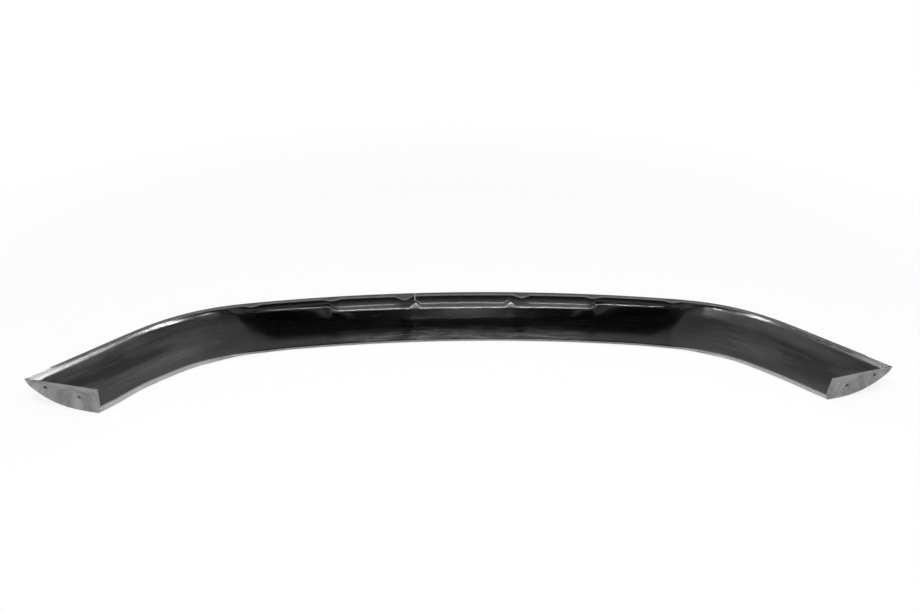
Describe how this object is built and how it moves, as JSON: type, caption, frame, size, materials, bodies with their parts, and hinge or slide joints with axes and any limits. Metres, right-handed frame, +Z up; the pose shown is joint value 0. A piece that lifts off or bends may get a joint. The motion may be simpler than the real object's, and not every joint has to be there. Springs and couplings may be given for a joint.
{
  "type": "front splitter lip",
  "caption": "Black plastic front splitter lip: a swept open tray with a top flange, stepped front wall, curved wings and drilled end caps.",
  "frame": {"origin": "centre of the bounding box, at the level of the underside", "axes": "X along the lip to the right, Y ahead of the car, Z up"},
  "size_m": [1.5306, 0.3648, 0.0483],
  "materials": {
    "shell": "black sheet plastic, glossy inside, satin outside"
  },
  "bodies": {
    "root": {"splitter_lip": "shell"}
  },
  "joints": []
}
